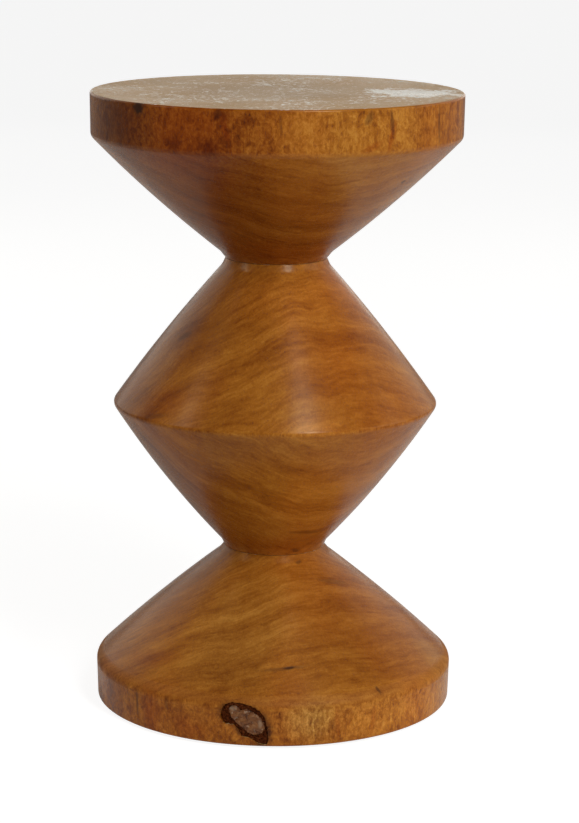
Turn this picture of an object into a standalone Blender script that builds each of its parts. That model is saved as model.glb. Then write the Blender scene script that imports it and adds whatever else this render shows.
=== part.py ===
"""A turned hardwood side table, 300 mm across and 502 mm high.

Three turned sections of one log stand on each other: a top disc on a downward cone, a double cone,
and a cone on a base disc. Their end grain meets at two narrow necks, and a thick dowel is glued into
each neck. A dead knot, its branch wood ringed with bark, sits in the rim of the base. Four felt pads,
each half sunk into a shallow socket, carry the table.

The origin is on the turning axis at floor level, +Z is up, and -Y is the front, where the knot is.
"""

import math

import bmesh
import bpy
from mathutils import Matrix, Vector

MM = 0.001

# Heights of the turned body above its own underside, which the felt pads hold off the floor.
PAD_STANDOFF = 2.0 * MM
BASE_RIM_HEIGHT = 33.5 * MM
LOWER_NECK_HEIGHT = 127.0 * MM
WAIST_HEIGHT = 247.5 * MM
UPPER_NECK_HEIGHT = 366.0 * MM
TOP_RIM_FOOT_HEIGHT = 465.0 * MM
BODY_HEIGHT = 500.0 * MM

# Radii about the turning axis.
BASE_FOOT_RADIUS = 146.0 * MM
BASE_RIM_RADIUS = 147.0 * MM
NECK_RADIUS = 41.3 * MM
WAIST_RADIUS = 132.5 * MM
TOP_RIM_FOOT_RADIUS = 149.5 * MM
TOP_RADIUS = 150.0 * MM

# Each cone turns steeper over its last stretch to a neck. These are its radii where that stretch begins.
FLARE_HEIGHT = 6.0 * MM
BASE_CONE_FLARE_RADIUS = 46.2 * MM
LOWER_CONE_FLARE_RADIUS = 44.2 * MM
UPPER_CONE_FLARE_RADIUS = 43.9 * MM
TOP_CONE_FLARE_RADIUS = 46.0 * MM
FLARE_ROUNDING = 12.0 * MM

# How far each cone bows outwards from a straight side, at its middle.
BASE_CONE_BOW = 1.7 * MM
LOWER_CONE_BOW = 3.4 * MM
UPPER_CONE_BOW = 2.0 * MM
TOP_CONE_BOW = 2.3 * MM

# Rounding of the turned edges.
FOOT_ROUNDING = 2.0 * MM
BASE_RIM_ROUNDING = 5.5 * MM
WAIST_ROUNDING = 3.8 * MM
TOP_RIM_ROUNDING = 6.5 * MM
TOP_EDGE_ROUNDING = 1.8 * MM

# The dowels and their bores. GAP is the glue line that every two touching pieces keep.
GAP = 0.3 * MM
DOWEL_RADIUS = 19.0 * MM
DOWEL_LENGTH = 110.0 * MM
DOWEL_CHAMFER = 3.0 * MM
BORE_EXTRA_DEPTH = 3.0 * MM

# The felt pads, each half sunk into a shallow socket.
PAD_COUNT = 4
PAD_RADIUS = 16.0 * MM
PAD_SUNK = 2.0 * MM
PAD_RING_RADIUS = 118.0 * MM
PAD_FIRST_ANGLE = math.radians(45)
PAD_ROUNDING = 0.6 * MM

# The dead knot: an oval leaning over in the base rim, left of the front. It narrows towards the pith.
KNOT_AZIMUTH = math.radians(-8.7)
KNOT_HEIGHT = 17.0 * MM
KNOT_LEAN = math.radians(38)
KNOT_HALF_LENGTH = 19.0 * MM
KNOT_HALF_WIDTH = 11.5 * MM
KNOT_DEPTH = 26.0 * MM
KNOT_TAPER = 0.6
KNOT_PAST_RIM = 8.0 * MM
BARK_THICKNESS = 3.6 * MM
BARK_SUNK = 1.2 * MM
CORE_SUNK = 0.6 * MM

TURN_STEPS = 96
DOWEL_STEPS = 48
BOW_STEPS = 4
ROUNDING_STEPS = 2
PAD_SIDES = 48
PAD_ROUNDING_STEPS = 2
KNOT_SIDES = 32
KNOT_FACE_SIDES = 144
AXIS_MERGE = 0.01 * MM
SHARP_ANGLE = math.radians(35)


def clear_scene():
    """Removes the objects of the scene that Blender starts with."""
    for obj in list(bpy.data.objects):
        bpy.data.objects.remove(obj)


def new_collection(name):
    collection = bpy.data.collections.new(name)
    bpy.context.scene.collection.children.link(collection)
    return collection


def new_material(name, colour, roughness):
    """A plain Principled finish of one colour."""
    material = bpy.data.materials.new(name)
    material.use_nodes = True
    shader = material.node_tree.nodes["Principled BSDF"]
    shader.inputs["Base Color"].default_value = (*colour, 1.0)
    shader.inputs["Roughness"].default_value = roughness
    shader.inputs["Metallic"].default_value = 0.0
    return material


def body_height(height):
    """The height above the floor of a point at this height on the turned body."""
    return PAD_STANDOFF + height


def bowed_points(start, end, bow):
    """Points between the ends of a face of a downward profile, standing out by bow at its middle."""
    start, end = Vector(start), Vector(end)
    along = end - start
    outward = Vector((-along.y, along.x)).normalized()
    points = []
    for i in range(1, BOW_STEPS):
        share = i / BOW_STEPS
        points.append(start + along * share + outward * bow * 4 * share * (1 - share))
    return points


def rounded_corner(before, corner, after, rounding):
    """The arc that rounds a corner off, between its neighbours on the profile."""
    to_before = (before - corner).normalized()
    to_after = (after - corner).normalized()
    half_angle = to_before.angle(to_after) / 2
    centre = corner + (to_before + to_after).normalized() * rounding / math.sin(half_angle)
    first = corner + to_before * rounding / math.tan(half_angle) - centre
    last = corner + to_after * rounding / math.tan(half_angle) - centre
    turn = first.angle_signed(last)
    points = []
    for i in range(ROUNDING_STEPS + 1):
        angle = -turn * i / ROUNDING_STEPS
        points.append(centre + Matrix.Rotation(angle, 2) @ first)
    return points


def turned_profile(corners):
    """The points of a profile from corners of (radius, height, rounding, bow of the face that follows)."""
    rows = []
    for i, (radius, height, rounding, bow) in enumerate(corners):
        rows.append((Vector((radius, height)), rounding))
        if bow:
            rows += [(point, 0.0) for point in bowed_points((radius, height), corners[i + 1][:2], bow)]
    profile = []
    for i, (point, rounding) in enumerate(rows):
        if rounding:
            profile += rounded_corner(rows[i - 1][0], point, rows[i + 1][0], rounding)
        else:
            profile.append(point)
    return profile


def turned_object(name, corners, material, collection, steps=TURN_STEPS):
    """A solid turned about the Z axis, from a profile that runs down its outer side."""
    profile = turned_profile(corners)
    mesh = bpy.data.meshes.new(name)
    vertices = [(point.x, 0.0, point.y) for point in profile]
    edges = [(i, i + 1) for i in range(len(vertices) - 1)]
    mesh.from_pydata(vertices, edges, [])
    mesh.materials.append(material)
    obj = bpy.data.objects.new(name, mesh)
    collection.objects.link(obj)
    screw = obj.modifiers.new("turning", "SCREW")
    screw.axis = "Z"
    screw.angle = math.tau
    screw.steps = steps
    screw.render_steps = steps
    screw.use_merge_vertices = True
    screw.merge_threshold = AXIS_MERGE
    turned = bpy.data.meshes.new_from_object(obj.evaluated_get(bpy.context.evaluated_depsgraph_get()))
    obj.modifiers.clear()
    obj.data = turned
    shade(obj)
    return obj


def cone_object(name, radius_low, radius_high, height, collection, sides, material=None):
    """A cone or a cylinder along Z, its low end at its origin."""
    mesh = bpy.data.meshes.new(name)
    form = bmesh.new()
    bmesh.ops.create_cone(
        form,
        cap_ends=True,
        segments=sides,
        radius1=radius_low,
        radius2=radius_high,
        depth=height,
        matrix=Matrix.Translation((0, 0, height / 2)),
    )
    form.to_mesh(mesh)
    form.free()
    if material:
        mesh.materials.append(material)
    obj = bpy.data.objects.new(name, mesh)
    collection.objects.link(obj)
    return obj


def as_helper(obj):
    """Marks an object as a cutter or a guide, which isn't part of the table."""
    obj.hide_render = True
    obj.display_type = "WIRE"
    return obj


def boolean(obj, other, operation):
    modifier = obj.modifiers.new(f"{operation.lower()} {other.name}", "BOOLEAN")
    modifier.operation = operation
    modifier.object = other
    modifier.solver = "EXACT"


def shade(obj):
    """Smooth shading that keeps the crisp edges."""
    obj.data.shade_smooth()
    obj.data.set_sharp_from_angle(angle=SHARP_ANGLE)


def bore_corners(mouth_height, end_height):
    """The part of a profile that goes from a neck into a blind dowel bore and ends on the axis."""
    radius = DOWEL_RADIUS + GAP
    return [(radius, mouth_height, 0, 0), (radius, end_height, 0, 0), (0, end_height, 0, 0)]


def make_sections(wood, table):
    """The three turned sections, bored for their dowels. It returns the base."""
    bore_depth = DOWEL_LENGTH / 2 + BORE_EXTRA_DEPTH
    upper_neck = body_height(UPPER_NECK_HEIGHT)
    lower_neck = body_height(LOWER_NECK_HEIGHT)
    top_foot = upper_neck + GAP / 2
    turned_object(
        "top_section",
        [
            (0, body_height(BODY_HEIGHT), 0, 0),
            (TOP_RADIUS, body_height(BODY_HEIGHT), TOP_EDGE_ROUNDING, 0),
            (TOP_RIM_FOOT_RADIUS, body_height(TOP_RIM_FOOT_HEIGHT), TOP_RIM_ROUNDING, TOP_CONE_BOW),
            (TOP_CONE_FLARE_RADIUS, upper_neck + FLARE_HEIGHT, FLARE_ROUNDING, 0),
            (NECK_RADIUS, top_foot, 0, 0),
            *bore_corners(top_foot, top_foot + bore_depth),
        ],
        wood,
        table,
    )
    middle_top = upper_neck - GAP / 2
    middle_foot = lower_neck + GAP / 2
    turned_object(
        "middle_section",
        [
            *reversed(bore_corners(middle_top, middle_top - bore_depth)),
            (NECK_RADIUS, middle_top, 0, 0),
            (UPPER_CONE_FLARE_RADIUS, upper_neck - FLARE_HEIGHT, FLARE_ROUNDING, UPPER_CONE_BOW),
            (WAIST_RADIUS, body_height(WAIST_HEIGHT), WAIST_ROUNDING, LOWER_CONE_BOW),
            (LOWER_CONE_FLARE_RADIUS, lower_neck + FLARE_HEIGHT, FLARE_ROUNDING, 0),
            (NECK_RADIUS, middle_foot, 0, 0),
            *bore_corners(middle_foot, middle_foot + bore_depth),
        ],
        wood,
        table,
    )
    base_top = lower_neck - GAP / 2
    return turned_object(
        "base_section",
        [
            *reversed(bore_corners(base_top, base_top - bore_depth)),
            (NECK_RADIUS, base_top, 0, 0),
            (BASE_CONE_FLARE_RADIUS, lower_neck - FLARE_HEIGHT, FLARE_ROUNDING, BASE_CONE_BOW),
            (BASE_RIM_RADIUS, body_height(BASE_RIM_HEIGHT), BASE_RIM_ROUNDING, 0),
            (BASE_FOOT_RADIUS, body_height(0), FOOT_ROUNDING, 0),
            (0, body_height(0), 0, 0),
        ],
        wood,
        table,
    )


def make_dowel(name, neck_height, wood, table):
    """A dowel with chamfered ends, half in the section below its neck and half in the one above."""
    foot = body_height(neck_height) - DOWEL_LENGTH / 2
    head = foot + DOWEL_LENGTH
    end_radius = DOWEL_RADIUS - DOWEL_CHAMFER
    turned_object(
        name,
        [
            (0, head, 0, 0),
            (end_radius, head, 0, 0),
            (DOWEL_RADIUS, head - DOWEL_CHAMFER, 0, 0),
            (DOWEL_RADIUS, foot + DOWEL_CHAMFER, 0, 0),
            (end_radius, foot, 0, 0),
            (0, foot, 0, 0),
        ],
        wood,
        table,
        DOWEL_STEPS,
    )


def make_pads(base, felt, table, cutters):
    """The felt pads on a ring under the base, each in its own shallow socket."""
    for i in range(PAD_COUNT):
        angle = PAD_FIRST_ANGLE + math.tau * i / PAD_COUNT
        x, y = PAD_RING_RADIUS * math.cos(angle), PAD_RING_RADIUS * math.sin(angle)
        pad_height = PAD_STANDOFF + PAD_SUNK
        pad = cone_object(f"foot_pad_{i + 1}", PAD_RADIUS, PAD_RADIUS, pad_height, table, PAD_SIDES, felt)
        pad.location = (x, y, 0)
        bevel = pad.modifiers.new("soft edge", "BEVEL")
        bevel.width = PAD_ROUNDING
        bevel.segments = PAD_ROUNDING_STEPS
        bevel.limit_method = "ANGLE"
        shade(pad)
        socket_radius = PAD_RADIUS + GAP
        socket_depth = PAD_SUNK + GAP
        name = f"pad_socket_cutter_{i + 1}"
        socket = cone_object(name, socket_radius, socket_radius, 2 * socket_depth, cutters, PAD_SIDES)
        as_helper(socket).location = (x, y, body_height(0) - socket_depth)
        boolean(base, socket, "DIFFERENCE")


def knot_cone(name, margin, foot_radius, collection, material=None):
    """An oval cone along the knot's radial line, margin inside its outline, widening outwards."""
    depth = BASE_RIM_RADIUS + KNOT_PAST_RIM - foot_radius
    cone = cone_object(name, KNOT_TAPER, 1.0, depth, collection, KNOT_SIDES, material)
    half_length = KNOT_HALF_LENGTH - margin
    half_width = KNOT_HALF_WIDTH - margin
    cone.data.transform(Matrix.Diagonal((half_length, half_width, 1.0, 1.0)))
    outward = Vector((math.sin(KNOT_AZIMUTH), -math.cos(KNOT_AZIMUTH), 0))
    up = Vector((0, 0, 1))
    side = up.cross(outward)
    turned = Matrix((side, up, outward)).transposed().to_4x4() @ Matrix.Rotation(-KNOT_LEAN, 4, "Z")
    cone.matrix_world = Matrix.Translation(outward * foot_radius + up * body_height(KNOT_HEIGHT)) @ turned
    return cone


def make_knot(base, core_wood, bark, table, cutters):
    """The dead knot: its branch wood, the bark around it, and the pocket that holds both."""
    foot = BASE_RIM_RADIUS - KNOT_DEPTH
    pocket = as_helper(knot_cone("knot_pocket_cutter", 0.0, foot - GAP, cutters))
    boolean(base, pocket, "DIFFERENCE")
    envelopes = {}
    for label, sunk in (("bark", BARK_SUNK), ("core", CORE_SUNK)):
        radius = BASE_FOOT_RADIUS - sunk
        name = f"knot_{label}_face_guide"
        envelope = cone_object(name, radius, radius, BASE_RIM_HEIGHT, cutters, KNOT_FACE_SIDES)
        envelope.location.z = body_height(0)
        envelopes[label] = as_helper(envelope)
    ring = knot_cone("knot_bark", GAP, foot, table, bark)
    hole = as_helper(knot_cone("knot_bark_hole_cutter", BARK_THICKNESS, foot - 2 * GAP, cutters))
    boolean(ring, envelopes["bark"], "INTERSECT")
    boolean(ring, hole, "DIFFERENCE")
    core = knot_cone("knot_core", BARK_THICKNESS + GAP, foot, table, core_wood)
    boolean(core, envelopes["core"], "INTERSECT")
    for obj in (ring, core):
        shade(obj)


def main():
    clear_scene()
    table = new_collection("turned_side_table")
    cutters = new_collection("cutters")
    wood = new_material("oiled_heartwood", (0.33, 0.14, 0.035), 0.35)
    dowel_wood = new_material("dowel_wood", (0.55, 0.38, 0.20), 0.6)
    knot_wood = new_material("knot_wood", (0.20, 0.11, 0.06), 0.3)
    bark = new_material("knot_bark", (0.03, 0.008, 0.004), 0.6)
    felt = new_material("wool_felt", (0.12, 0.09, 0.07), 0.95)
    base = make_sections(wood, table)
    make_dowel("upper_dowel", UPPER_NECK_HEIGHT, dowel_wood, table)
    make_dowel("lower_dowel", LOWER_NECK_HEIGHT, dowel_wood, table)
    make_pads(base, felt, table, cutters)
    make_knot(base, knot_wood, bark, table, cutters)


main()
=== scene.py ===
"""The looks of a turned hardwood side table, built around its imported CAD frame.

Three turned sections of one log, a dead knot with its bark in the rim of the base, two hidden dowels
and four felt pads. Lengths are metres: a size given in millimetres is multiplied by MM. An azimuth is
measured about the turning axis from the front (-Y), positive towards +X.
"""

import functools
import math

import bmesh
import bpy
import numpy as np
from mathutils import Matrix, Vector, noise


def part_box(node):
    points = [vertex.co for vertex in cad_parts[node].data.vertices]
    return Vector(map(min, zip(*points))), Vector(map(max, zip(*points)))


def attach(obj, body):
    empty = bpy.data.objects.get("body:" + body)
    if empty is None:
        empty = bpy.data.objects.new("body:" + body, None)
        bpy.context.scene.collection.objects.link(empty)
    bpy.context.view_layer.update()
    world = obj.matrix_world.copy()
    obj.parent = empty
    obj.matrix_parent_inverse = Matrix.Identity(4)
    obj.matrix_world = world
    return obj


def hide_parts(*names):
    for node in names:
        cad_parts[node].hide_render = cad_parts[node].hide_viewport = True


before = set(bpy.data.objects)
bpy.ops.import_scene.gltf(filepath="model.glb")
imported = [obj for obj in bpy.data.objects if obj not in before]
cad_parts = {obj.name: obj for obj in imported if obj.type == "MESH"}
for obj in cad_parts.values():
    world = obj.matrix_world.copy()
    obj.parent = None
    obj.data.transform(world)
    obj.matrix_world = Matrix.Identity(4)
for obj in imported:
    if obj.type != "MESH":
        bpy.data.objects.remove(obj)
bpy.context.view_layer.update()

MM = 0.001
BODY = "root"

# The frame: where the turned sections begin and end.
base_low, base_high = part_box("base_section")
middle_low, middle_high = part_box("middle_section")
top_low, top_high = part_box("top_section")
FOOT_Z = base_low.z
LOWER_NECK_Z = (base_high.z + middle_low.z) / 2
UPPER_NECK_Z = (middle_high.z + top_low.z) / 2
TOP_Z = top_high.z
HALF_GLUE_LINE = (middle_low.z - base_high.z) / 2

# Heights above the foot of the turned body, and radii, as the CAD sections have them.
BASE_RIM_HEIGHT = 33.5 * MM
WAIST_HEIGHT = 247.5 * MM
TOP_RIM_HEIGHT = 35.0 * MM
BASE_FOOT_RADIUS = 146.0 * MM
BASE_RIM_RADIUS = 147.0 * MM
NECK_RADIUS = 41.3 * MM
WAIST_RADIUS = 132.5 * MM
TOP_RIM_FOOT_RADIUS = 149.5 * MM
TOP_RADIUS = 150.0 * MM
BORE_RADIUS = 19.3 * MM
BORE_DEPTH = 58.0 * MM

# Each cone turns steeper over its last stretch to a neck. These are its radii where that stretch begins.
FLARE_HEIGHT = 6.0 * MM
BASE_CONE_FLARE_RADIUS = 46.2 * MM
LOWER_CONE_FLARE_RADIUS = 44.2 * MM
UPPER_CONE_FLARE_RADIUS = 43.9 * MM
TOP_CONE_FLARE_RADIUS = 46.0 * MM

# How far each cone bows outwards from a straight side, at its middle.
BASE_CONE_BOW = 1.7 * MM
LOWER_CONE_BOW = 3.4 * MM
UPPER_CONE_BOW = 2.0 * MM
TOP_CONE_BOW = 2.3 * MM

# Rounding of the turned edges.
FOOT_ROUNDING = 2.0 * MM
BASE_RIM_ROUNDING = 9.0 * MM
WAIST_ROUNDING = 3.8 * MM
FLARE_ROUNDING = 12.0 * MM
TOP_RIM_ROUNDING = 6.5 * MM
TOP_EDGE_ROUNDING = 1.8 * MM

# The dead knot in the base rim: the middle of its face, and how deep it is modelled.
KNOT_AZIMUTH = math.radians(-8.7)
KNOT_HEIGHT = 16.8 * MM
KNOT_DEPTH = 9.0 * MM


# ---------------------------------------------------------------- node trees


class Wire:
    """A value that flows through a node tree. Python's operators on it make Math nodes."""

    def __init__(self, tree, socket):
        self.tree, self.socket = tree, socket

    def math(self, operation, *others):
        return math_node(self.tree, operation, self, *others)

    def __add__(self, other):
        return self.math("ADD", other)

    def __radd__(self, other):
        return self.math("ADD", other)

    def __sub__(self, other):
        return self.math("SUBTRACT", other)

    def __rsub__(self, other):
        return math_node(self.tree, "SUBTRACT", other, self)

    def __mul__(self, other):
        return self.math("MULTIPLY", other)

    def __truediv__(self, other):
        return self.math("DIVIDE", other)


def plug(tree, socket, value):
    """Links a wire into a socket, or sets the socket to a plain value."""
    if isinstance(value, Wire):
        tree.links.new(value.socket, socket)
    else:
        socket.default_value = value


def math_node(tree, operation, *values):
    node = tree.nodes.new("ShaderNodeMath")
    node.operation = operation
    for socket, value in zip(node.inputs, values):
        plug(tree, socket, value)
    return Wire(tree, node.outputs[0])


def length2(a, b):
    """The length of the flat vector (a, b)."""
    return (a * a + b * b).math("SQRT")


def smooth(value, low, high):
    """0 below low, 1 above high, and a smooth step between them. Low may be above high."""
    node = value.tree.nodes.new("ShaderNodeMapRange")
    node.interpolation_type = "SMOOTHSTEP"
    plug(value.tree, node.inputs["Value"], value)
    node.inputs["From Min"].default_value = low
    node.inputs["From Max"].default_value = high
    return Wire(value.tree, node.outputs["Result"])


def vector(tree, x, y, z):
    node = tree.nodes.new("ShaderNodeCombineXYZ")
    for socket, value in zip(node.inputs, (x, y, z)):
        plug(tree, socket, value)
    return Wire(tree, node.outputs[0])


def coordinates(tree, output="Object"):
    """The x, y and z of the object's own coordinates, which are the frame's, or of its normal."""
    source = tree.nodes.new("ShaderNodeTexCoord")
    parts = tree.nodes.new("ShaderNodeSeparateXYZ")
    tree.links.new(source.outputs[output], parts.inputs[0])
    return [Wire(tree, socket) for socket in parts.outputs]


def noise_of(place, scale, detail=2.0, roughness=0.5, distortion=0.0):
    """Noise from 0 to 1, about 0.5, at a place in space."""
    node = place.tree.nodes.new("ShaderNodeTexNoise")
    node.noise_dimensions = "3D"
    plug(place.tree, node.inputs["Vector"], place)
    node.inputs["Scale"].default_value = scale
    node.inputs["Detail"].default_value = detail
    node.inputs["Roughness"].default_value = roughness
    node.inputs["Distortion"].default_value = distortion
    return Wire(place.tree, node.outputs[0])


def noise_along(value, scale, detail=2.0, roughness=0.5):
    """Noise from 0 to 1, about 0.5, along one number."""
    node = value.tree.nodes.new("ShaderNodeTexNoise")
    node.noise_dimensions = "1D"
    plug(value.tree, node.inputs["W"], value)
    node.inputs["Scale"].default_value = scale
    node.inputs["Detail"].default_value = detail
    node.inputs["Roughness"].default_value = roughness
    return Wire(value.tree, node.outputs[0])


def ramp(value, stops):
    """A colour from a list of (position, colour)."""
    node = value.tree.nodes.new("ShaderNodeValToRGB")
    elements = node.color_ramp.elements
    while len(elements) < len(stops):
        elements.new(1.0)
    for element, (position, colour) in zip(elements, stops):
        element.position = position
        element.color = (*colour, 1.0)
    plug(value.tree, node.inputs[0], value)
    return Wire(value.tree, node.outputs["Color"])


def mix(factor, under, over, blend="MIX"):
    """One colour over another. A colour is a wire or three numbers."""
    tree = factor.tree
    node = tree.nodes.new("ShaderNodeMix")
    node.data_type = "RGBA"
    node.blend_type = blend
    plug(tree, node.inputs["Factor"], factor)
    for name, value in (("A", under), ("B", over)):
        socket = next(s for s in node.inputs if s.name == name and s.type == "RGBA")
        plug(tree, socket, value if isinstance(value, Wire) else (*value, 1.0))
    return Wire(tree, next(s for s in node.outputs if s.type == "RGBA"))


def bump(tree, height, distance, strength=1.0):
    node = tree.nodes.new("ShaderNodeBump")
    node.inputs["Distance"].default_value = distance
    node.inputs["Strength"].default_value = strength
    plug(tree, node.inputs["Height"], height)
    return Wire(tree, node.outputs[0])


def new_material(name):
    material = bpy.data.materials.new(name)
    material.use_nodes = True
    tree = material.node_tree
    return material, tree, tree.nodes["Principled BSDF"]


# ---------------------------------------------------------------- the log

# The log was turned well off its pith, which lies behind the table's axis and to the left.
PITH_AZIMUTH = math.radians(-153)
PITH_OFFSET = 88.0 * MM
PITH_WANDER = 16.0 * MM

HEARTWOOD = [
    (0.18, (0.105, 0.024, 0.0030)),
    (0.36, (0.268, 0.074, 0.0065)),
    (0.50, (0.405, 0.136, 0.0140)),
    (0.64, (0.535, 0.208, 0.0270)),
    (0.82, (0.645, 0.300, 0.0520)),
]
STAIN = (0.052, 0.013, 0.004)
END_GRAIN = (0.60, 0.38, 0.14)
END_GRAIN_WORN_GLARE = (0.96, 0.93, 0.87)

# The worn patch on the table top, which is also a painted glare where a window's reflection lies: its
# middle from the axis, and half its size, in metres.
WORN_GLARE_PLACE = (0.104, -0.006)
WORN_GLARE_HALF = (0.042, 0.040)

# Tints: what they multiply the wood by. Some are the wood's own colours, and some paint light, shade and
# sheen into it.
MAROON = (0.50, 0.33, 0.28)
RUSSET = (0.78, 0.50, 0.32)
# Painted shade: darker and greyer.
PAINTED_SHADE = (0.70, 0.62, 0.66)
# Painted light: paler.
PAINTED_LIGHT = (1.28, 1.30, 1.34)
# A painted reflection: paler and much bluer, as a sheen makes the wood look.
PAINTED_SHEEN_BLUE = (1.16, 1.45, 2.10)
# A painted highlight: paler and bluer, as a sheen makes the wood look.
PAINTED_SHEEN = (1.02, 1.16, 1.55)
REDDER = (1.0, 0.70, 0.45)
DULLER = (0.82, 0.80, 0.76)

# Marks: strength, azimuth, height above the foot, half width, half height, lean. Angles are in degrees and
# lengths in millimetres.
TOP_MARKS = [
    (1.00, -45.0, 496.5, 6.4, 6.2, 0),
    (0.50, 27.5, 492.5, 3.4, 6.5, -25),
    (0.50, 35.5, 489.0, 1.8, 11.0, 8),
    (0.45, 56.5, 482.0, 1.6, 18.0, 3),
    (0.70, 54.5, 437.0, 3.0, 1.6, -8),
    (0.35, -17.2, 496.0, 3.0, 4.0, -30),
    (0.30, 1.0, 489.0, 1.4, 9.0, 4),
]

# Tinted places: the tint, and then as in a mark. Some are the wood's own colour, and some are painted
# light, shade and sheen.
TOP_TINTS = [
    # The rim's dark left: maroon wood, and painted shade, darker and redder where the light falls away.
    (MAROON, 0.85, -54.0, 484.0, 34.0, 44.0, 0),
    (RUSSET, 1.00, -26.0, 482.0, 58.0, 46.0, 0),
    (PAINTED_SHADE, 0.60, -70.0, 482.0, 60.0, 44.0, 0),
    # Blotches and streaks of the wood itself.
    (MAROON, 0.80, -31.4, 472.0, 8.0, 6.5, 30),
    (MAROON, 0.95, -20.0, 470.0, 8.5, 9.0, -10),
    (MAROON, 0.85, -16.5, 495.0, 8.0, 5.0, 0),
    (MAROON, 0.80, -8.7, 491.5, 6.0, 5.0, 20),
    (RUSSET, 0.70, -15.0, 484.0, 3.0, 16.0, 12),
    (RUSSET, 0.80, 35.5, 478.0, 2.6, 13.0, -14),
    (RUSSET, 0.65, 29.0, 471.0, 9.0, 3.0, 22),
    # Painted shade: the top cone's shaded left, and the shade just above the upper neck, darker and redder.
    (PAINTED_SHADE, 1.00, -26.0, 415.0, 95.0, 60.0, 0),
    (RUSSET, 0.40, -32.0, 425.0, 70.0, 40.0, 0),
    (RUSSET, 0.70, 0.0, 376.0, 60.0, 17.0, 0),
    # Painted sheen on the rim's far right.
    (PAINTED_LIGHT, 0.90, 76.0, 483.0, 30.0, 34.0, 0),
]
MIDDLE_MARKS = [
    (0.45, -57.0, 309.0, 7.0, 3.0, 28),
    (0.30, -47.0, 252.5, 14.0, 2.2, 12),
    (0.55, 24.0, 131.0, 4.0, 1.8, -12),
    (0.30, 25.0, 150.0, 16.0, 1.6, -5),
]
MIDDLE_TINTS = [
    (MAROON, 0.60, -58.0, 312.0, 15.0, 14.0, 28),
    (RUSSET, 0.45, -46.0, 262.0, 26.0, 14.0, 12),
    # Painted highlights: below the upper neck, down the upper cone, and a glow at the waist.
    (PAINTED_LIGHT, 1.00, 10.0, 347.0, 60.0, 24.0, 0),
    (PAINTED_SHEEN, 0.50, 13.0, 325.0, 34.0, 48.0, 0),
    (PAINTED_LIGHT, 0.55, 14.0, 251.0, 26.0, 9.0, 0),
    # Painted shade on the upper cone's right and left and on the lower cone's left, and painted light in
    # the lower cone's middle.
    (RUSSET, 0.40, 38.0, 300.0, 60.0, 70.0, 0),
    (PAINTED_SHADE, 0.35, -50.0, 330.0, 50.0, 44.0, 0),
    (PAINTED_SHADE, 0.80, -58.0, 190.0, 60.0, 70.0, 0),
    (PAINTED_LIGHT, 0.45, 8.0, 195.0, 60.0, 60.0, 0),
    # Darker and redder just above the lower neck.
    (RUSSET, 0.45, 0.0, 134.0, 60.0, 12.0, 0),
]
BASE_MARKS = [
    (0.50, 26.0, 121.5, 3.0, 1.3, 8),
    (0.35, 48.0, 106.0, 15.0, 2.0, -14),
    (0.85, 6.0, 57.0, 5.0, 0.9, 4),
    (0.40, 4.0, 56.5, 20.0, 1.3, 4),
    (0.65, 35.9, 37.5, 1.5, 3.0, 20),
    (0.55, -47.8, 21.0, 1.6, 11.0, 2),
    (0.35, -35.1, 27.0, 2.0, 7.0, 2),
]
# The dark stain that the bark has left around the knot.
KNOT_STAIN = [
    (0.85, -13.2, 26.0, 10.5, 9.5, -20),
    (0.85, -6.3, 20.0, 17.5, 12.0, -38),
    (0.85, -3.0, 8.0, 6.0, 9.5, -25),
    (0.70, -10.0, 13.0, 6.0, 4.0, -50),
]
BASE_TINTS = [
    # Painted light, shade and sheen: the cone's pale left, the rim's pale, redder left and pale right, the
    # cone's darker right, and a paler, bluer sheen on the rim's front and on the cone.
    (PAINTED_LIGHT, 0.80, -60.0, 62.0, 70.0, 34.0, 0),
    (PAINTED_LIGHT, 1.00, -35.0, 14.0, 110.0, 28.0, 0),
    (RUSSET, 0.35, -40.0, 14.0, 110.0, 28.0, 0),
    (PAINTED_LIGHT, 0.75, 38.0, 14.0, 90.0, 26.0, 0),
    (PAINTED_SHADE, 0.55, 40.0, 82.0, 60.0, 46.0, 0),
    (PAINTED_SHEEN_BLUE, 1.00, 11.0, 20.0, 22.0, 17.0, 0),
    (PAINTED_SHEEN, 0.70, 11.0, 20.0, 20.0, 16.0, 0),
    (PAINTED_LIGHT, 0.35, 48.0, 14.0, 60.0, 26.0, 0),
    (PAINTED_SHEEN, 0.80, -14.0, 75.0, 50.0, 40.0, 0),
    # Streaks and marks of the wood itself.
    (RUSSET, 0.40, -50.0, 52.0, 30.0, 6.0, 10),
    (RUSSET, 0.70, -42.0, 16.0, 10.0, 22.0, 5),
    (RUSSET, 0.55, -27.0, 9.0, 16.0, 10.0, -20),
    (RUSSET, 0.50, 20.5, 16.0, 2.2, 16.0, 6),
    (RUSSET, 0.45, 33.0, 15.0, 2.4, 13.0, -10),
]

# Swirls in the rings: azimuth, height, half width, half height, and how far they push the rings out.
TOP_SWIRLS = [
    (27, 484, 24, 13, 5.0),
    (-12, 480, 18, 12, -4.0),
    (48, 484, 15, 11, 3.5),
    (-33, 484, 16, 12, 3.0),
]
MIDDLE_SWIRLS = [(-60, 303, 26, 16, 7.0)]
BASE_SWIRLS = [
    (math.degrees(KNOT_AZIMUTH), KNOT_HEIGHT / MM, 44, 26, 9.0),
    (24, 17, 14, 13, 5.0),
    (42, 18, 17, 12, -4.5),
    (-40, 15, 15, 12, 4.0),
]


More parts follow.
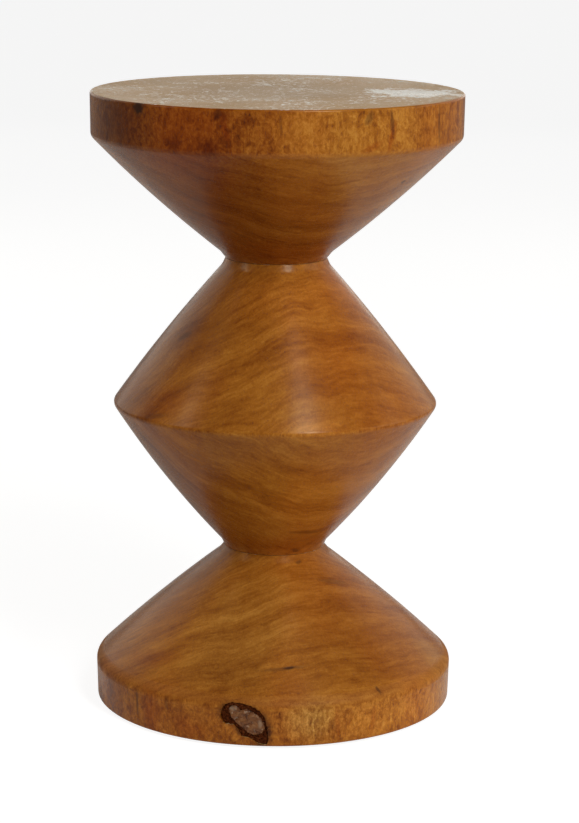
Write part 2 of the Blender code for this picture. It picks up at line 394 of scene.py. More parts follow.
def spot_of(x, y, z, azimuth, height, half_width, half_height, lean=0.0, soft=0.55):
    """How strongly a spot in the wood shows: 1 in its middle, 0 outside. It runs in from the surface."""
    azimuth, lean = math.radians(azimuth), math.radians(lean)
    along = x * math.cos(azimuth) + y * math.sin(azimuth)
    outward = x * math.sin(azimuth) - y * math.cos(azimuth)
    rise = z - (FOOT_Z + height * MM)
    across = (along * math.cos(lean) + rise * math.sin(lean)) / (half_width * MM)
    upward = (rise * math.cos(lean) - along * math.sin(lean)) / (half_height * MM)
    ragged = noise_of(vector(x.tree, x, y, z), 420, 3, 0.6)
    reach = length2(across, upward) + (ragged - 0.5) * 0.9
    return smooth(reach, 1.0 + soft / 2, 1.0 - soft) * smooth(outward, 0.0, 0.01)


def drawn_out(x, y, z, share=0.22):
    """A place whose height counts for only a share, so that noise there is drawn out along the fibres."""
    return vector(x.tree, x, y, z * share)


def rings_of(x, y, z, swirls):
    """The distance from the wandering pith in millimetres, bent by the rings' own waves and by swirls."""
    along_log = drawn_out(x, y, z)
    pith_x = PITH_OFFSET * math.sin(PITH_AZIMUTH) + (noise_along(z, 3.1, 1) - 0.5) * PITH_WANDER
    pith_y = -PITH_OFFSET * math.cos(PITH_AZIMUTH) + (noise_along(z + 7.0, 3.1, 1) - 0.5) * PITH_WANDER
    ring = length2(x - pith_x, y - pith_y) * (1 / MM)
    ring = ring + (noise_of(along_log, 11, 2) - 0.5) * 26.0 + (noise_of(along_log, 60, 2) - 0.5) * 3.4
    ring = ring + (noise_of(vector(x.tree, x, y, z), 85, 2) - 0.5) * 1.4
    for azimuth, height, half_width, half_height, push in swirls:
        ring = ring + spot_of(x, y, z, azimuth, height, half_width, half_height, soft=0.95) * push
    return ring


def figure_of(x, y, z, ring, long_grain):
    """The wood's figure: its tone, from dark to light about 0.5, its open pores, and its fine relief.

    It goes from bands as wide as a finger down to fibres. On the rims, where long_grain is 1, mottle, grain
    and strokes are bolder, and streaks and fibres are fainter.
    """
    tree = x.tree
    along_log = drawn_out(x, y, z)
    bands = noise_along(ring, 0.085, 2, 0.55)
    lines = noise_along(ring + 40.0, 0.42, 3, 0.62)
    around = x * math.cos(PITH_AZIMUTH) + y * math.sin(PITH_AZIMUTH)
    shell = vector(tree, ring * MM, around * 0.12, z * 0.10)
    flames = noise_of(shell, 210, 2, 0.5, 0.2)
    streaks = noise_of(shell, 620, 3, 0.6, 0.3)
    breakup = smooth(noise_of(along_log, 38, 2), 0.38, 0.62)
    patches = noise_of(along_log, 9, 2)
    curl = noise_of(drawn_out(x, y, z, 0.12), 62, 2, 0.5, 0.6)
    mottle = noise_of(drawn_out(x, y, z, 0.8), 105, 4, 0.60, 1.6)
    grain = noise_of(drawn_out(x, y, z, 0.75), 430, 4, 0.66, 0.8)
    fibre = noise_of(drawn_out(x, y, z, 0.07), 900, 2, 0.6)
    strokes = noise_of(drawn_out(x, y, z, 0.14), 330, 3, 0.6, 0.5)
    stroked = smooth(noise_of(vector(tree, x, y, z), 13, 1), 0.42, 0.60) * long_grain
    pores = smooth(noise_of(drawn_out(x, y, z, 0.2), 1100, 1, 0.5), 0.62, 0.72)

    tone = 0.5 + (bands - 0.5) * 0.20 + (lines - 0.5) * breakup * 0.16 + (patches - 0.5) * 0.34
    tone = tone + (flames - 0.5) * 0.23 + (streaks - 0.5) * (0.34 - long_grain * 0.18) + (curl - 0.5) * 0.12
    tone = tone + (mottle - 0.5) * (long_grain * 0.60 + 0.06) + (grain - 0.5) * (long_grain * 0.36 + 0.26)
    tone = tone + (fibre - 0.5) * (0.14 - long_grain * 0.08) + (strokes - 0.5) * stroked * 0.42
    tone = tone - pores * 0.13
    relief = (fibre - 0.5) * 0.25 + (grain - 0.5) * 0.30 + (streaks - 0.5) * 0.15
    return tone, pores, relief


def worn_and_glare_specks(x, y, place):
    """White specks on the table top, scuff marks in the lacquer and painted glints, closest together in its
    worn patch, which is also a painted glare.
    """
    outside_worn_glare = length2((x - WORN_GLARE_PLACE[0]) / WORN_GLARE_HALF[0], (y - WORN_GLARE_PLACE[1]) / WORN_GLARE_HALF[1])
    outside_worn_glare = outside_worn_glare + (noise_of(place, 42, 3, 0.6) - 0.5) * 1.6
    scuff_and_glare = smooth(noise_of(place, 19, 3, 0.6), 0.40, 0.60) * 0.08 + smooth(outside_worn_glare, 1.25, 0.35) * 0.26
    return smooth(noise_of(place, 240, 4, 0.66, 0.6) + scuff_and_glare, 0.60, 0.70)


def wood_material(name, marks, tints, swirls):
    """The lacquered heartwood, cut from one log: rings about the pith, fibres along it, marks, and painted
    light and shade in some of its tints.
    """
    material, tree, shader = new_material(name)
    x, y, z = coordinates(tree)
    place = vector(tree, x, y, z)
    facing_up = coordinates(tree, "Normal")[2].math("ABSOLUTE")
    long_grain = smooth(facing_up, 0.45, 0.05)
    end_grain = smooth(facing_up, 0.90, 0.98)
    on_side = 1 - end_grain

    tone, pores, relief = figure_of(x, y, z, rings_of(x, y, z, swirls), long_grain)
    colour = ramp(tone, HEARTWOOD)
    redness = smooth(noise_of(drawn_out(x, y, z), 14, 1), 0.46, 0.66)
    colour = mix(redness * 0.30, colour, REDDER, "MULTIPLY")
    # The tints: the wood's own colour in places, and painted light, shade and sheen in others.
    for tint, strength, azimuth, height, half_width, half_height, lean in tints:
        spot = spot_of(x, y, z, azimuth, height, half_width, half_height, lean, 0.8) * on_side
        colour = mix(spot * strength, colour, tint, "MULTIPLY")

    # The top is end grain under worn lacquer: paler, and a little darker towards its middle. Its white
    # specks are scuff marks and painted glints, and crowd into a painted glare.
    specks = worn_and_glare_specks(x, y, place) * end_grain
    colour = mix(end_grain * 0.65, colour, END_GRAIN)
    colour = mix(end_grain * smooth(length2(x, y), 0.11, 0.03), colour, DULLER, "MULTIPLY")
    colour = mix(specks * 0.92, colour, END_GRAIN_WORN_GLARE)

    dents = pores * 0.3
    for strength, azimuth, height, half_width, half_height, lean in marks:
        spot = spot_of(x, y, z, azimuth, height, half_width, half_height, lean) * on_side
        colour = mix(spot * strength, colour, STAIN)
        dents = dents + spot * strength * 0.5

    # The lacquer is uneven, duller on the top and in the pores, and rubbed on the shoulder of the base.
    worn = noise_of(place, 23, 3)
    rubbed = smooth((z - FOOT_Z - BASE_RIM_HEIGHT).math("ABSOLUTE"), 7.0 * MM, 3.0 * MM)
    roughness = 0.25 + (worn - 0.5) * 0.16 + (0.5 - tone) * 0.12 + pores * 0.15
    roughness = roughness + end_grain * 0.09 + dents * 0.25 - specks * 0.06 + rubbed * 0.30
    plug(tree, shader.inputs["Base Color"], colour)
    plug(tree, shader.inputs["Roughness"], roughness)
    shader.inputs["IOR"].default_value = 1.46
    shader.inputs["Specular IOR Level"].default_value = 0.26
    shader.inputs["Specular Tint"].default_value = (1.0, 0.93, 0.72, 1.0)
    plug(tree, shader.inputs["Normal"], bump(tree, relief - dents + specks * 0.6, 0.20 * MM, 0.55))
    return material


def bark_material():
    material, tree, shader = new_material("knot_bark")
    x, y, z = coordinates(tree)
    place = vector(tree, x, y, z)
    crumbs = noise_of(place, 700, 4, 0.7, 0.5)
    colours = [(0.35, (0.020, 0.004, 0.001)), (0.55, (0.105, 0.023, 0.005)), (0.75, (0.26, 0.085, 0.028))]
    plug(tree, shader.inputs["Base Color"], ramp(crumbs, colours))
    plug(tree, shader.inputs["Roughness"], 0.80 - crumbs * 0.25)
    shader.inputs["Specular IOR Level"].default_value = 0.03
    plug(tree, shader.inputs["Normal"], bump(tree, crumbs, 0.8 * MM, 0.8))
    return material


# Painted glints on the branch's end, pale spots where it catches the light, in millimetres: middle along
# the rim and upwards, half width, half height.
CORE_GLINT_SPOTS = [(-9.2, 13.2, 2.6, 1.9), (12.2, 1.6, 1.7, 3.4)]


def core_material():
    """The branch's own wood, grey brown and glossy, with its rings seen end on."""
    material, tree, shader = new_material("knot_wood")
    x, y, z = coordinates(tree)
    place = vector(tree, x, y, z)
    along = x * math.cos(KNOT_AZIMUTH) + y * math.sin(KNOT_AZIMUTH)
    rise = z - (FOOT_Z + KNOT_HEIGHT)
    ring = length2(along * 0.8 - 2.0 * MM, rise + 1.5 * MM) * (1 / MM)
    ring = ring + (noise_of(place, 160, 3) - 0.5) * 9.0
    rings = noise_along(ring, 0.55, 3, 0.6)
    blotch = noise_of(place, 170, 4, 0.65, 0.8)
    glints = smooth(noise_of(place, 240, 2, 0.5, 0.5), 0.58, 0.70)
    tone = rings * 0.22 + blotch * 0.78
    colour = ramp(
        tone,
        [
            (0.34, (0.055, 0.014, 0.004)),
            (0.46, (0.175, 0.058, 0.015)),
            (0.58, (0.275, 0.110, 0.034)),
            (0.74, (0.43, 0.24, 0.11)),
        ],
    )
    colour = mix(glints * 0.45, colour, (0.62, 0.47, 0.33))
    # Painted glints: pale spots mixed into the branch's colour where it catches the light.
    for u, v, half_width, half_height in CORE_GLINT_SPOTS:
        reach = length2((along - u * MM) / (half_width * MM), (rise - v * MM) / (half_height * MM))
        colour = mix(smooth(reach + (blotch - 0.5) * 2.5, 1.5, 0.2) * 0.40, colour, (0.56, 0.40, 0.26))
    plug(tree, shader.inputs["Base Color"], colour)
    plug(tree, shader.inputs["Roughness"], 0.26 + (blotch - 0.4) * 0.5)
    shader.inputs["Specular IOR Level"].default_value = 0.32
    plug(tree, shader.inputs["Normal"], bump(tree, rings + blotch, 0.5 * MM, 0.45))
    return material


def felt_material():
    material, tree, shader = new_material("wool_felt")
    x, y, z = coordinates(tree)
    place = vector(tree, x, y, z)
    wool = noise_of(place, 1300, 4, 0.75, 1.2)
    patches = noise_of(place, 130, 2)
    tone = wool * 0.7 + patches * 0.3
    colours = [(0.3, (0.05, 0.033, 0.022)), (0.5, (0.12, 0.085, 0.06)), (0.7, (0.24, 0.185, 0.14))]
    plug(tree, shader.inputs["Base Color"], ramp(tone, colours))
    shader.inputs["Roughness"].default_value = 0.95
    shader.inputs["Sheen Weight"].default_value = 0.4
    plug(tree, shader.inputs["Normal"], bump(tree, wool, 0.5 * MM, 0.9))
    return material


def dowel_material():
    """Straight-grained beech with its short dark flecks."""
    material, tree, shader = new_material("dowel_wood")
    x, y, z = coordinates(tree)
    fibre = noise_of(drawn_out(x, y, z, 0.05), 700, 3, 0.6)
    ring = noise_along(length2(x - 0.06, y + 0.03) * (1 / MM), 0.45, 2)
    fleck = smooth(noise_of(drawn_out(x, y, z, 0.25), 900, 2), 0.62, 0.70)
    tone = 0.5 + (fibre - 0.5) * 0.5 + (ring - 0.5) * 0.4 - fleck * 0.25
    colours = [(0.25, (0.38, 0.22, 0.11)), (0.5, (0.55, 0.37, 0.20)), (0.75, (0.68, 0.50, 0.30))]
    plug(tree, shader.inputs["Base Color"], ramp(tone, colours))
    plug(tree, shader.inputs["Roughness"], 0.55 + (fibre - 0.5) * 0.3)
    plug(tree, shader.inputs["Normal"], bump(tree, fibre - fleck * 0.3, 0.2 * MM, 0.5))
    return material


# ---------------------------------------------------------------- turned sections

TURN_STEPS = 288
ROW_HEIGHT = 3.0 * MM
ROUNDING_STEPS = 8
SHARP_ANGLE = math.radians(38)
UNEVENNESS = 0.22 * MM


def bowed_points(start, end, bow):
    """Points between the ends of a face of a downward profile, standing out by bow at its middle."""
    along = end - start
    outward = Vector((-along.y, along.x)).normalized()
    steps = max(1, round(along.length / ROW_HEIGHT))
    shares = [i / steps for i in range(1, steps)]
    return [start + along * share + outward * bow * 4 * share * (1 - share) for share in shares]


def rounded_corner(before, corner, after, rounding):
    """The arc that rounds a corner off, between its neighbours on the profile."""
    to_before, to_after = (before - corner).normalized(), (after - corner).normalized()
    half_angle = to_before.angle(to_after) / 2
    centre = corner + (to_before + to_after).normalized() * rounding / math.sin(half_angle)
    first = corner + to_before * rounding / math.tan(half_angle) - centre
    last = corner + to_after * rounding / math.tan(half_angle) - centre
    turn = first.angle_signed(last)
    angles = [-turn * i / ROUNDING_STEPS for i in range(ROUNDING_STEPS + 1)]
    return [centre + Matrix.Rotation(angle, 2) @ first for angle in angles]


def turned_profile(corners):
    """The points of a profile from corners of (radius, height, rounding, bow of the face that follows)."""
    places = [Vector(corner[:2]) for corner in corners]
    faces = []
    for i in range(len(corners) - 1):
        faces.append([places[i], *bowed_points(places[i], places[i + 1], corners[i][3]), places[i + 1]])
    profile = [places[0]]
    for i in range(1, len(corners)):
        rounding = corners[i][2]
        before, after = faces[i - 1], faces[i] if i < len(faces) else None
        inner = before[1:-1]
        if rounding:
            arc = rounded_corner(before[-2], places[i], after[1], rounding)
            while inner and (inner[-1] - places[i]).length < (arc[0] - places[i]).length:
                inner.pop()
        else:
            arc = [places[i]]
        previous_reach = (profile[-1] - places[i - 1]).length
        profile += [point for point in inner if (point - places[i - 1]).length > previous_reach]
        profile += arc
    return profile


def add_object(name, mesh, material):
    mesh.materials.clear()
    mesh.materials.append(material)
    obj = bpy.data.objects.new(name, mesh)
    bpy.context.scene.collection.objects.link(obj)
    return obj


def evaluated_mesh(obj):
    return bpy.data.meshes.new_from_object(obj.evaluated_get(bpy.context.evaluated_depsgraph_get()))


def turned_mesh(name, corners):
    """A solid of revolution about the Z axis, slightly uneven as hand-turned wood is."""
    profile = turned_profile(corners)
    mesh = bpy.data.meshes.new(name)
    mesh.from_pydata([(p.x, 0, p.y) for p in profile], [(i, i + 1) for i in range(len(profile) - 1)], [])
    obj = bpy.data.objects.new(name + "_profile", mesh)
    bpy.context.scene.collection.objects.link(obj)
    screw = obj.modifiers.new("turning", "SCREW")
    screw.steps = screw.render_steps = TURN_STEPS
    screw.use_merge_vertices = True
    screw.merge_threshold = 0.01 * MM
    turned = evaluated_mesh(obj)
    bpy.data.objects.remove(obj)
    for vertex in turned.vertices:
        radius = math.hypot(vertex.co.x, vertex.co.y)
        if radius > BORE_RADIUS + 1 * MM:
            wave = noise.fractal(vertex.co * 14, 0.5, 2.0, 3) * 0.5 + 0.5
            share = 1 - UNEVENNESS * min(1.0, max(0.0, wave)) / radius
            vertex.co.x *= share
            vertex.co.y *= share
    turned.name = name
    return turned


def cut(mesh, cutters):
    """The mesh with each cutter's shape taken out. It removes the cutters."""
    obj = bpy.data.objects.new("being_cut", mesh)
    bpy.context.scene.collection.objects.link(obj)
    for cutter in cutters:
        modifier = obj.modifiers.new(cutter.name, "BOOLEAN")
        modifier.object = cutter
        modifier.operation = "DIFFERENCE"
        modifier.solver = "EXACT"
    result = evaluated_mesh(obj)
    for leftover in (obj, *cutters):
        bpy.data.objects.remove(leftover)
    return result


def shade(mesh):
    mesh.shade_smooth()
    mesh.set_sharp_from_angle(angle=SHARP_ANGLE)


def pit_cutter(name, azimuth, height, radius, half_width, half_height, depth, lean=0.0):
    """A small uneven hollow in the surface, at this radius and height. Sizes are in millimetres."""
    form = bmesh.new()
    bmesh.ops.create_icosphere(form, subdivisions=3, radius=1.0)
    for vertex in form.verts:
        vertex.co *= 1 + 0.35 * noise.noise(vertex.co * 1.7 + Vector((height, azimuth, 0)))
    mesh = bpy.data.meshes.new(name)
    form.to_mesh(mesh)
    form.free()
    angle = math.radians(azimuth)
    outward = Vector((math.sin(angle), -math.cos(angle), 0))
    side = Vector((math.cos(angle), math.sin(angle), 0))
    frame_here = Matrix((side, outward, Vector((0, 0, 1)))).transposed().to_4x4()
    turned = frame_here @ Matrix.Rotation(math.radians(-lean), 4, "Y")
    size = Matrix.Diagonal((half_width * MM, depth * MM, half_height * MM, 1))
    centre = outward * radius * MM + Vector((0, 0, FOOT_Z + height * MM))
    mesh.transform(Matrix.Translation(centre) @ turned @ size)
    obj = bpy.data.objects.new(name, mesh)
    bpy.context.scene.collection.objects.link(obj)
    return obj


def bore(mouth, end):
    return [(BORE_RADIUS, mouth, 0, 0), (BORE_RADIUS, end, 0, 0), (0, end, 0, 0)]


def make_top():
    foot = UPPER_NECK_Z + HALF_GLUE_LINE
    mesh = turned_mesh(
        "top_wood",
        [
            (0, TOP_Z, 0, 0),
            (TOP_RADIUS, TOP_Z, TOP_EDGE_ROUNDING, 0),
            (TOP_RIM_FOOT_RADIUS, TOP_Z - TOP_RIM_HEIGHT, TOP_RIM_ROUNDING, TOP_CONE_BOW),
            (TOP_CONE_FLARE_RADIUS, UPPER_NECK_Z + FLARE_HEIGHT, FLARE_ROUNDING, 0),
            (NECK_RADIUS, foot, 0, 0),
            *bore(foot, foot + BORE_DEPTH),
        ],
    )
    pits = [
        pit_cutter("edge_pit", -45.0, 497.5, 150.6, 4.6, 4.4, 2.6),
        pit_cutter("rim_slit", 36.0, 486.0, 150.2, 0.7, 7.0, 1.0, 8),
    ]
    mesh = cut(mesh, pits)
    shade(mesh)
    material = wood_material("heartwood_top", TOP_MARKS, TOP_TINTS, TOP_SWIRLS)
    return add_object("top_wood", mesh, material)


def make_middle():
    head, foot = UPPER_NECK_Z - HALF_GLUE_LINE, LOWER_NECK_Z + HALF_GLUE_LINE
    mesh = turned_mesh(
        "middle_wood",
        [
            *reversed(bore(head, head - BORE_DEPTH)),
            (NECK_RADIUS, head, 0, 0),
            (UPPER_CONE_FLARE_RADIUS, UPPER_NECK_Z - FLARE_HEIGHT, FLARE_ROUNDING, UPPER_CONE_BOW),
            (WAIST_RADIUS, FOOT_Z + WAIST_HEIGHT, WAIST_ROUNDING, LOWER_CONE_BOW),
            (LOWER_CONE_FLARE_RADIUS, LOWER_NECK_Z + FLARE_HEIGHT, FLARE_ROUNDING, 0),
            (NECK_RADIUS, foot, 0, 0),
            *bore(foot, foot + BORE_DEPTH),
        ],
    )
    shade(mesh)
    material = wood_material("heartwood_middle", MIDDLE_MARKS, MIDDLE_TINTS, MIDDLE_SWIRLS)
    return add_object("middle_wood", mesh, material)


def base_corners():
    head = LOWER_NECK_Z - HALF_GLUE_LINE
    return [
        *reversed(bore(head, head - BORE_DEPTH)),
        (NECK_RADIUS, head, 0, 0),
        (BASE_CONE_FLARE_RADIUS, LOWER_NECK_Z - FLARE_HEIGHT, FLARE_ROUNDING, BASE_CONE_BOW),
        (BASE_RIM_RADIUS, FOOT_Z + BASE_RIM_HEIGHT, BASE_RIM_ROUNDING, 0),
        (BASE_FOOT_RADIUS, FOOT_Z, FOOT_ROUNDING, 0),
        (0, FOOT_Z, 0, 0),
    ]


@functools.cache
def base_outside():
    """The heights and radii of the base's outer face, from the foot upwards."""
    outside = [point for point in turned_profile(base_corners()) if point.x > NECK_RADIUS]
    outside.sort(key=lambda point: point.y)
    return [point.y for point in outside], [point.x for point in outside]


def base_radius(z):
    return float(np.interp(z, *base_outside()))


def make_base():
    mesh = turned_mesh("base_wood", base_corners())
    cutters = [
        knot_plug("knot_pocket", None, BARK_OUTLINE, POCKET_GAP, pocket_face, KNOT_DEPTH + 0.3 * MM),
        pit_cutter("cone_slit", 6.0, 57.0, 121.5, 4.2, 0.5, 2.2, 4),
    ]
    cutters += pad_sockets()
    mesh = cut(mesh, cutters)
    shade(mesh)
    material = wood_material("heartwood_base", BASE_MARKS + KNOT_STAIN, BASE_TINTS, BASE_SWIRLS)
    return add_object("base_wood", mesh, material)


# ---------------------------------------------------------------- the knot

# The outlines of the bark and of the branch inside it, in millimetres along the rim and upwards.
BARK_OUTLINE = [
    (-19.1, 5.5),
    (-18.4, 11.4),
    (-14.2, 17.0),
    (-4.5, 17.9),
    (4.5, 16.2),
    (11.3, 12.8),
    (15.8, 7.0),
    (17.9, -0.8),
    (18.5, -8.0),
    (17.9, -14.4),
    (10.5, -13.6),
    (4.0, -9.4),
    (-1.8, -8.6),
    (-5.2, -2.6),
    (-9.5, 0.9),
    (-16.0, 1.2),
]
CORE_OUTLINE = [
    (-12.4, 11.8),
    (-10.6, 15.2),
    (-6.2, 15.2),
    (-3.2, 12.8),
    (2.2, 13.3),
    (7.9, 10.9),
    (12.5, 6.6),
    (15.6, 2.2),
    (15.2, -3.8),
    (9.5, -7.6),
    (2.4, -5.0),
    (-3.6, -0.2),
    (-8.1, 3.9),
    (-11.2, 8.0),
]
OUTLINE_STEPS = 14
RAGGEDNESS = 0.8
SURFACE_ROWS = 14

# Around the knot, in millimetres: bark to wood, bark to branch, and how far the pocket's cutter stands out.
POCKET_GAP = 0.25
BRANCH_GAP = 0.25
POCKET_OVERSHOOT = 4.0


def smooth_outline(points, grow=0.0):
    """A closed smooth curve through points in millimetres, moved out by grow."""
    count = len(points)
    curve = []
    for i in range(count):
        p0, p1, p2, p3 = (np.array(points[(i + k) % count], float) for k in (-1, 0, 1, 2))
        for step in range(OUTLINE_STEPS):
            t = step / OUTLINE_STEPS
            square = 2 * p0 - 5 * p1 + 4 * p2 - p3
            cube = 3 * p1 - p0 - 3 * p2 + p3
            curve.append(0.5 * (2 * p1 + (p2 - p0) * t + square * t**2 + cube * t**3))
    curve = np.array(curve)
    ragged = np.array([noise.noise(Vector((u, v, 0)) * 0.55) for u, v in curve])
    ahead, behind = np.roll(curve, -1, axis=0), np.roll(curve, 1, axis=0)
    edge = ahead - behind
    normal = np.stack([-edge[:, 1], edge[:, 0]], axis=1)
    normal /= np.linalg.norm(normal, axis=1)[:, None]
    return curve + normal * (grow + RAGGEDNESS * ragged)[:, None]


def on_rim(u, v, sunk):
    """A point u mm along the rim and v mm up from the knot's middle, sunk mm below the rim's surface."""
    height = KNOT_HEIGHT + v * MM
    surface = base_radius(FOOT_Z + height)
    azimuth = KNOT_AZIMUTH + u * MM / surface
    radius = surface - sunk * MM
    return (radius * math.sin(azimuth), -radius * math.cos(azimuth), FOOT_Z + height)


def knot_plug(name, inner, outer, grow, sunk, depth):
    """A closed plug or ring in the rim, whose face lies sunk(u, v) mm below the rim's surface.

    It reaches from the inner outline, or from its middle where that is None, to the outer one.
    """
    rim = smooth_outline(outer, grow)
    count = len(rim)
    if inner is None:
        hub = np.repeat(rim.mean(axis=0)[None], count, axis=0)
    else:
        hub = smooth_outline(inner, BRANCH_GAP)
        start = np.argmin(np.linalg.norm(hub - hub.mean(axis=0) - (rim[0] - rim.mean(axis=0)), axis=1))
        shares = np.arange(count) / count * len(hub) + start
        low = np.floor(shares).astype(int)
        part = (shares - low)[:, None]
        hub = hub[low % len(hub)] * (1 - part) + hub[(low + 1) % len(hub)] * part
    form = bmesh.new()
    rows = []
    for row in range(SURFACE_ROWS + 1):
        share = row / SURFACE_ROWS
        places = hub + (rim - hub) * share
        rows.append([form.verts.new(on_rim(u, v, sunk(u, v))) for u, v in places])
    for places in (rim, hub):
        rows.append([form.verts.new(on_rim(u, v, depth / MM)) for u, v in places])
    if inner is not None:
        rows.append(rows[0])
    for first, second in zip(rows, rows[1:]):
        for i in range(count):
            j = (i + 1) % count
            form.faces.new((first[i], first[j], second[j], second[i]))
    bmesh.ops.remove_doubles(form, verts=form.verts, dist=0.002 * MM)
    bmesh.ops.recalc_face_normals(form, faces=form.faces)
    mesh = bpy.data.meshes.new(name)
    form.to_mesh(mesh)
    form.free()
    obj = bpy.data.objects.new(name, mesh)
    bpy.context.scene.collection.objects.link(obj)
    return obj


def pocket_face(u, v):
    return -POCKET_OVERSHOOT


def bark_face(u, v):
    """Crumbled bark, lowest at the knot's dark upper left end."""
    rough = noise.fractal(Vector((u, v, 3.0)) * 0.45, 0.6, 2.1, 4)
    return 1.0 + 0.75 * rough + 1.1 * max(0.0, (-u - 9) / 10)


def core_face(u, v):
    """The branch's end: a low dome with tool-torn hollows."""
    rough = noise.fractal(Vector((u, v, 9.0)) * 0.22, 0.5, 2.0, 3)
    return 0.55 + 0.85 * rough + 0.004 * (u * u + v * v) * 0.6


def make_knot():
    bark = knot_plug("knot_bark_ring", CORE_OUTLINE, BARK_OUTLINE, -0.05, bark_face, KNOT_DEPTH)
    core = knot_plug("knot_core_wood", None, CORE_OUTLINE, 0.0, core_face, KNOT_DEPTH)
    bark.data.materials.append(bark_material())
    core.data.materials.append(core_material())
    for obj in (bark, core):
        shade(obj.data)
    return bark, core


# ---------------------------------------------------------------- felt pads

PAD_NAMES = [f"foot_pad_{i}" for i in range(1, 5)]
PAD_STEPS = 96
PAD_EDGE = 0.9 * MM
PAD_EDGE_STEPS = 5
PAD_LUMPS = 0.25 * MM
PAD_GAP = 0.3 * MM


def pad_sockets():
    """The shallow sockets that the pads sit in, a little wider than each CAD pad."""
    sockets = []
    for name in PAD_NAMES:
        low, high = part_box(name)
        form = bmesh.new()
        radius = (high.x - low.x) / 2 + PAD_GAP
        roof = high.z + PAD_GAP
        depth = 2 * (roof - FOOT_Z)
        place = Matrix.Translation(((low.x + high.x) / 2, (low.y + high.y) / 2, roof - depth / 2))
        size = {"radius1": radius, "radius2": radius, "depth": depth}
        bmesh.ops.create_cone(form, cap_ends=True, segments=PAD_STEPS, matrix=place, **size)
        mesh = bpy.data.meshes.new(name + "_socket")
        form.to_mesh(mesh)
        form.free()
        obj = bpy.data.objects.new(name + "_socket", mesh)
        bpy.context.scene.collection.objects.link(obj)
        sockets.append(obj)
    return sockets


def make_pad(name, material):
    """A pressed felt disc with soft edges and a slightly lumpy side."""
    low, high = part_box(name)
    radius = (high.x - low.x) / 2
    middle = Vector(((low.x + high.x) / 2, (low.y + high.y) / 2, 0))
    profile = [(0.0, high.z), (radius * 0.5, high.z)]
    angles = [math.pi / 2 * step / PAD_EDGE_STEPS for step in range(PAD_EDGE_STEPS + 1)]
    insets = [(PAD_EDGE * (1 - math.sin(angle)), PAD_EDGE * (1 - math.cos(angle))) for angle in angles]
    profile += [(radius - inward, high.z - down) for inward, down in insets]
    profile += [(radius - inward, low.z + up) for up, inward in insets]
    profile += [(radius * 0.5, low.z), (0.0, low.z)]
    form = bmesh.new()
    rings = []
    for r, z in profile:
        if r == 0:
            rings.append([form.verts.new(middle + Vector((0, 0, z)))] * PAD_STEPS)
            continue
        ring = []
        for i in range(PAD_STEPS):
            angle = math.tau * i / PAD_STEPS
            point = Vector((math.cos(angle) * r, math.sin(angle) * r, z))
            lump = PAD_LUMPS * (noise.noise((point + middle) * 400) * 0.5 + 0.5)
            point.x *= 1 - lump / radius
            point.y *= 1 - lump / radius
            ring.append(form.verts.new(middle + point))
        rings.append(ring)
    for upper, lower in zip(rings, rings[1:]):
        for i in range(PAD_STEPS):
            j = (i + 1) % PAD_STEPS
            corners = list(dict.fromkeys((upper[i], lower[i], lower[j], upper[j])))
            form.faces.new(corners)
    bmesh.ops.recalc_face_normals(form, faces=form.faces)
    mesh = bpy.data.meshes.new(name + "_felt")
    form.to_mesh(mesh)
    form.free()
    shade(mesh)
    return add_object(name + "_felt", mesh, material)


# ---------------------------------------------------------------- stage

FLOOR_RADIUS = 40.0
FLOOR_GAP = 0.1 * MM


def make_floor():
    """A pale studio floor. What it adds for the camera alone keeps it pale without lighting the table. It
    also glows faintly in reflections, though it is no lamp: a painted reflection that puts a pale sheen on
    the table's edges.
    """
    bpy.ops.mesh.primitive_circle_add(vertices=96, radius=FLOOR_RADIUS, fill_type="NGON")
    floor = bpy.context.object
    floor.name = "studio_floor"
    floor.location.z = -FLOOR_GAP
    material, tree, shader = new_material("studio_floor")
    shader.inputs["Roughness"].default_value = 0.9
    shader.inputs["Specular IOR Level"].default_value = 0.1
    rays = tree.nodes.new("ShaderNodeLightPath")
    shader.inputs["Emission Color"].default_value = (1, 1, 1, 1)
    seen = Wire(tree, rays.outputs["Is Camera Ray"])
    mirrored = Wire(tree, rays.outputs["Is Glossy Ray"])
    # Painted reflection: a faint glow that only glossy rays see.
    plug(tree, shader.inputs["Emission Strength"], seen * 0.90 + mirrored * 0.15)
    plug(tree, shader.inputs["Base Color"], mix(seen, (0.92, 0.91, 0.89), (0.28, 0.28, 0.275)))
    floor.data.materials.append(material)


def make_world():
    world = bpy.data.worlds.new("studio")
    world.use_nodes = True
    tree = world.node_tree
    background = tree.nodes["Background"]
    background.inputs["Color"].default_value = (1.0, 0.985, 0.96, 1)
    rays = tree.nodes.new("ShaderNodeLightPath")
    seen = Wire(tree, rays.outputs["Is Camera Ray"])
    mirrored = Wire(tree, rays.outputs["Is Glossy Ray"])
    plug(tree, background.inputs["Strength"], seen * 0.93 + mirrored * 0.10 + 0.03)
    bpy.context.scene.world = world


WARM = (1.0, 0.96, 0.88)
WARMER = (1.0, 0.95, 0.87)
AMBER = (1.0, 0.93, 0.80)

# Each softbox: name, azimuth and elevation in degrees, distance, width and height in metres, watts, colour.
SOFTBOXES = [
    ("key", 28, 38, 2.4, 0.38, 1.2, 25.5, (1.0, 1.0, 1.0)),
    ("key_high", 30, 54, 2.4, 0.35, 0.8, 4.0, (1.0, 1.0, 1.0)),
    ("right", 88, 20, 2.6, 1.8, 1.4, 12.0, AMBER),
    ("left", -78, 34, 2.4, 0.4, 0.9, 5.2, WARM),
    ("back_left", -140, 22, 2.6, 2.0, 1.8, 9.0, WARMER),
    ("back_right", 140, 22, 2.6, 2.0, 1.8, 7.0, (1.0, 0.95, 0.86)),
]
# A low light behind the table that shows only as the sheen on its top.
BACK_GLOW = ("back", 178, 7, 4.5, 3.0, 0.9, 12.8, (1.0, 0.97, 0.88))


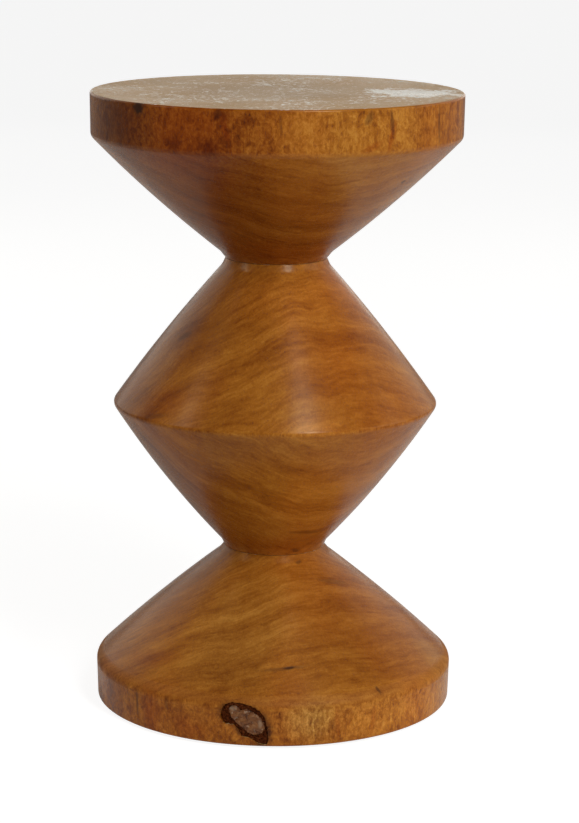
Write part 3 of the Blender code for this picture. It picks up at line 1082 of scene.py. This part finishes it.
def add_softbox(name, azimuth, elevation, distance, width, height, power, colour):
    """A soft rectangular light that faces the table's middle."""
    azimuth, elevation = math.radians(azimuth), math.radians(elevation)
    aim = Vector((0, 0, TOP_Z / 2))
    flat = math.cos(elevation)
    direction = Vector((math.sin(azimuth) * flat, -math.cos(azimuth) * flat, math.sin(elevation)))
    data = bpy.data.lights.new(name, "AREA")
    data.shape = "RECTANGLE"
    data.size, data.size_y = width, height
    data.energy = power
    data.color = colour
    lamp = bpy.data.objects.new(name, data)
    lamp.location = aim + direction * distance
    lamp.rotation_euler = direction.to_track_quat("Z", "Y").to_euler()
    lamp.visible_camera = False
    bpy.context.scene.collection.objects.link(lamp)
    return lamp


CAMERA_DISTANCE = 2155.0 * MM
CAMERA_HEIGHT = 705.0 * MM
CAMERA_PITCH = 0.2134
CAMERA_ROLL = 0.0091
CAMERA_YAW = -0.0055
CAMERA_LENS = 117.7


def make_camera():
    data = bpy.data.cameras.new("camera")
    data.lens = CAMERA_LENS
    data.sensor_width = 36
    camera = bpy.data.objects.new("camera", data)
    level = Matrix.Rotation(math.pi / 2 - CAMERA_PITCH, 4, "X") @ Matrix.Rotation(CAMERA_ROLL, 4, "Z")
    place = Matrix.Translation((0, -CAMERA_DISTANCE, FOOT_Z + CAMERA_HEIGHT))
    camera.matrix_world = place @ Matrix.Rotation(CAMERA_YAW, 4, "Z") @ level
    bpy.context.scene.collection.objects.link(camera)
    bpy.context.scene.camera = camera


def main():
    make_camera()
    make_world()
    make_floor()
    for softbox in SOFTBOXES:
        add_softbox(*softbox)
    add_softbox(*BACK_GLOW).visible_diffuse = False

    sections = {"top_section": make_top(), "middle_section": make_middle(), "base_section": make_base()}
    for node, wood in sections.items():
        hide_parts(node)
        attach(wood, BODY)
    bark, core = make_knot()
    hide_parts("knot_bark")
    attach(bark, BODY)
    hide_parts("knot_core")
    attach(core, BODY)
    felt = felt_material()
    for name in PAD_NAMES:
        pad = make_pad(name, felt)
        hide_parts(name)
        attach(pad, BODY)
    beech = dowel_material()
    for name in ("upper_dowel", "lower_dowel"):
        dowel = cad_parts[name]
        dowel.data.materials.clear()
        dowel.data.materials.append(beech)
    bpy.context.scene.view_settings.view_transform = "Standard"


main()
